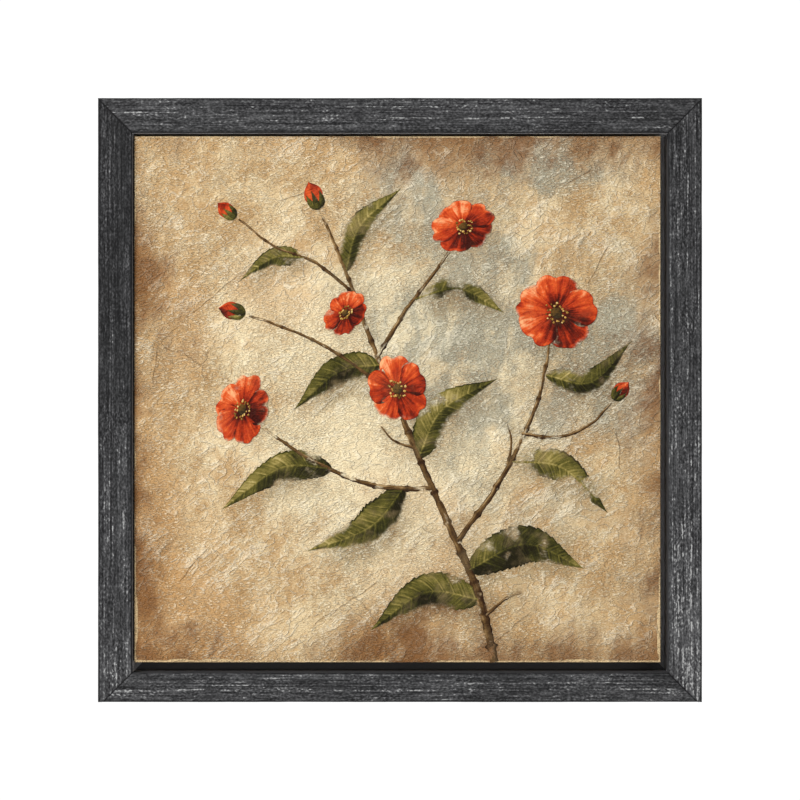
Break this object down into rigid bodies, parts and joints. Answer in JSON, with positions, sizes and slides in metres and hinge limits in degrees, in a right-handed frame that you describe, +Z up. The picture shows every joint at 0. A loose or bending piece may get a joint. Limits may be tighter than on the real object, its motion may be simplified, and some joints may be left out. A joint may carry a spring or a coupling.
{
  "type": "framed canvas picture",
  "caption": "Square wall picture: painted canvas on a wooden stretcher, floating in a mitred charcoal wood frame with a sawtooth hanger behind.",
  "frame": {"origin": "the point of the wall where the nail carries the sawtooth hanger's middle notch: on the wall plane, at the middle of the picture's width, 17 mm below its top edge", "axes": "-Y out of the wall towards the viewer, so the picture faces -Y and the wall is the plane y = 0; +X to the viewer's right; +Z up"},
  "size_m": [0.3492, 0.0347, 0.3492],
  "materials": {
    "charcoal_wood": "black-washed, brushed open grain, matte",
    "painted_cloth": "cotton canvas with a pebbly painted ground, satin varnish",
    "pine": "raw planed softwood",
    "zinc": "zinc-plated steel",
    "brass": "brass-plated steel",
    "rubber": "soft black rubber"
  },
  "bodies": {
    "root": {"rail_bottom": "charcoal_wood", "rail_left": "charcoal_wood", "rail_top": "charcoal_wood", "rail_right": "charcoal_wood", "corner_nail_outer_bottom_left": "zinc", "corner_nail_outer_top_left": "zinc", "corner_nail_outer_top_right": "zinc", "corner_nail_outer_bottom_right": "zinc", "corner_nail_inner_bottom_left": "zinc", "corner_nail_inner_top_left": "zinc", "corner_nail_inner_top_right": "zinc", "corner_nail_inner_bottom_right": "zinc", "screw_bottom_1": "zinc", "screw_bottom_2": "zinc", "screw_left_1": "zinc", "screw_left_2": "zinc", "screw_top_1": "zinc", "screw_top_2": "zinc", "screw_right_1": "zinc", "screw_right_2": "zinc", "canvas": "painted_cloth", "stretcher_bar_bottom": "pine", "stretcher_bar_left": "pine", "stretcher_bar_top": "pine", "stretcher_bar_right": "pine", "stretcher_nail_bottom_left": "zinc", "stretcher_nail_top_left": "zinc", "stretcher_nail_top_right": "zinc", "stretcher_nail_bottom_right": "zinc", "staple_bottom_1": "zinc", "staple_bottom_2": "zinc", "staple_bottom_3": "zinc", "staple_bottom_4": "zinc", "staple_bottom_5": "zinc", "staple_left_1": "zinc", "staple_left_2": "zinc", "staple_left_3": "zinc", "staple_left_4": "zinc", "staple_left_5": "zinc", "staple_top_1": "zinc", "staple_top_2": "zinc", "staple_top_3": "zinc", "staple_top_4": "zinc", "staple_top_5": "zinc", "staple_right_1": "zinc", "staple_right_2": "zinc", "staple_right_3": "zinc", "staple_right_4": "zinc", "staple_right_5": "zinc", "sawtooth_hanger": "brass", "hanger_nail_a": "brass", "hanger_nail_b": "brass", "bumper_a": "rubber", "bumper_b": "rubber"}
  },
  "joints": []
}
